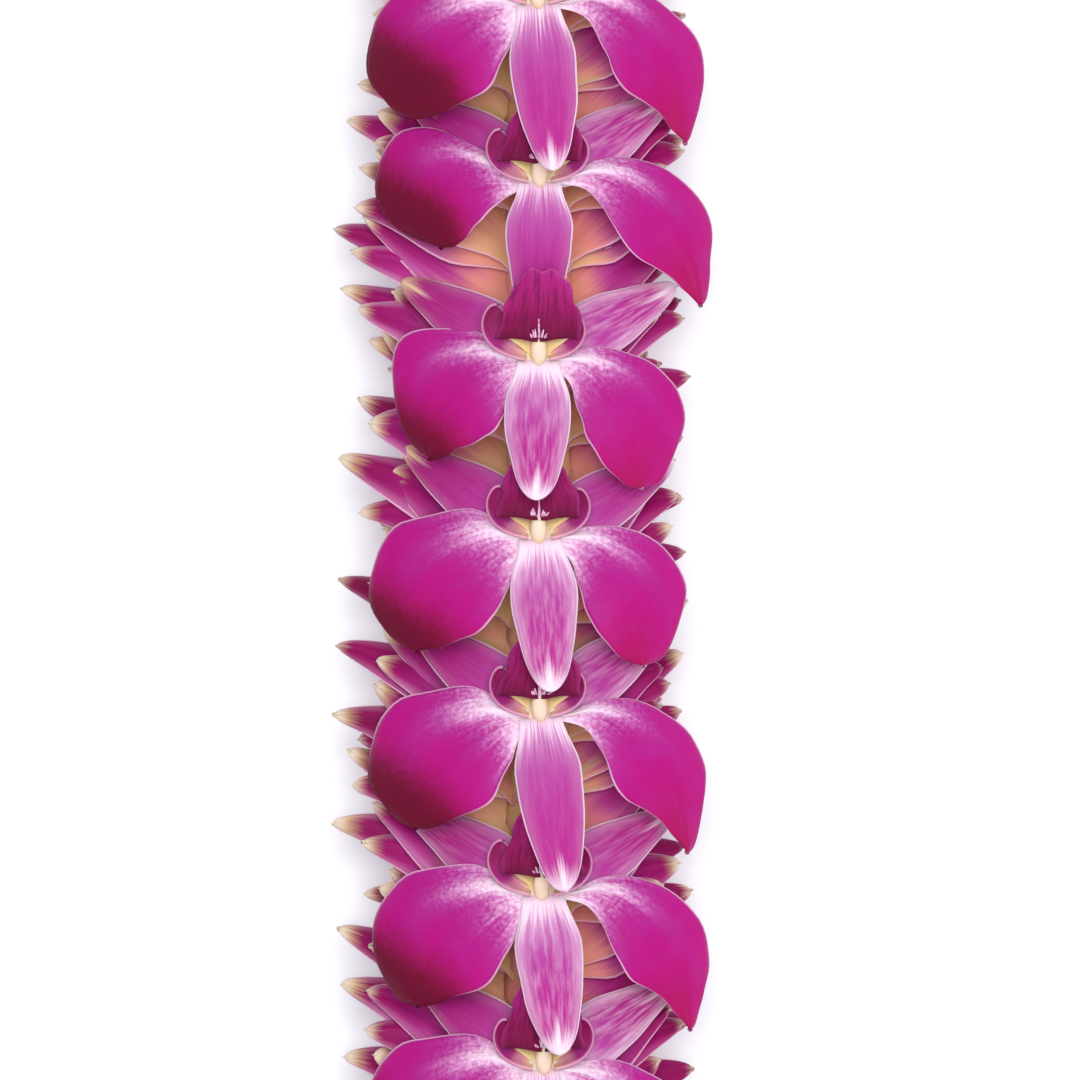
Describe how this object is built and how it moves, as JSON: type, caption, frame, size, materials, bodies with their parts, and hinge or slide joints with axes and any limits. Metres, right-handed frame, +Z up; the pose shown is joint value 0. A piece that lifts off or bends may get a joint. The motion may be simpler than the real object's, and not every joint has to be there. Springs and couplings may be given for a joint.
{
  "type": "fresh flower lei",
  "caption": "Closed garland of strung orchid blossoms: a row of face-up flowers over nested flowers with flared petals, laid flat in a long oval.",
  "frame": {"origin": "on the surface the lei lies on, in the middle of the oval", "axes": "+Z up, +Y along the oval's two straight runs, +X across the oval; the flowers point round the loop anticlockwise seen from above"},
  "size_m": [0.2208, 0.4518, 0.0438],
  "materials": {
    "orchid_tepals": "satin, velvety petal, magenta with white veined bases and crimson shading",
    "orchid_tepal_backs": "satin petal backs, cream and salmon bases turning magenta, pale margins",
    "string_cotton": "matt twisted cotton"
  },
  "bodies": {
    "root": {"blossom_01": "orchid_tepals", "blossom_02": "orchid_tepals", "blossom_03": "orchid_tepals", "blossom_04": "orchid_tepals", "blossom_05": "orchid_tepals", "blossom_06": "orchid_tepals", "blossom_07": "orchid_tepals", "blossom_08": "orchid_tepals", "blossom_09": "orchid_tepals", "blossom_10": "orchid_tepals", "blossom_11": "orchid_tepals", "blossom_12": "orchid_tepals", "blossom_13": "orchid_tepals", "blossom_14": "orchid_tepals", "blossom_15": "orchid_tepals", "blossom_16": "orchid_tepals", "blossom_17": "orchid_tepals", "blossom_18": "orchid_tepals", "blossom_19": "orchid_tepals", "blossom_20": "orchid_tepals", "blossom_21": "orchid_tepals", "blossom_22": "orchid_tepals", "blossom_23": "orchid_tepals", "blossom_24": "orchid_tepals", "blossom_25": "orchid_tepals", "blossom_26": "orchid_tepals", "blossom_27": "orchid_tepals", "blossom_28": "orchid_tepals", "blossom_29": "orchid_tepals", "nest_01": "orchid_tepal_backs", "nest_02": "orchid_tepal_backs", "nest_03": "orchid_tepal_backs", "nest_04": "orchid_tepal_backs", "nest_05": "orchid_tepal_backs", "nest_06": "orchid_tepal_backs", "nest_07": "orchid_tepal_backs", "nest_08": "orchid_tepal_backs", "nest_09": "orchid_tepal_backs", "nest_10": "orchid_tepal_backs", "nest_11": "orchid_tepal_backs", "nest_12": "orchid_tepal_backs", "nest_13": "orchid_tepal_backs", "nest_14": "orchid_tepal_backs", "nest_15": "orchid_tepal_backs", "nest_16": "orchid_tepal_backs", "nest_17": "orchid_tepal_backs", "nest_18": "orchid_tepal_backs", "nest_19": "orchid_tepal_backs", "nest_20": "orchid_tepal_backs", "nest_21": "orchid_tepal_backs", "nest_22": "orchid_tepal_backs", "nest_23": "orchid_tepal_backs", "nest_24": "orchid_tepal_backs", "nest_25": "orchid_tepal_backs", "nest_26": "orchid_tepal_backs", "nest_27": "orchid_tepal_backs", "nest_28": "orchid_tepal_backs", "nest_29": "orchid_tepal_backs", "lei_string": "string_cotton", "string_knot": "string_cotton"}
  },
  "joints": []
}
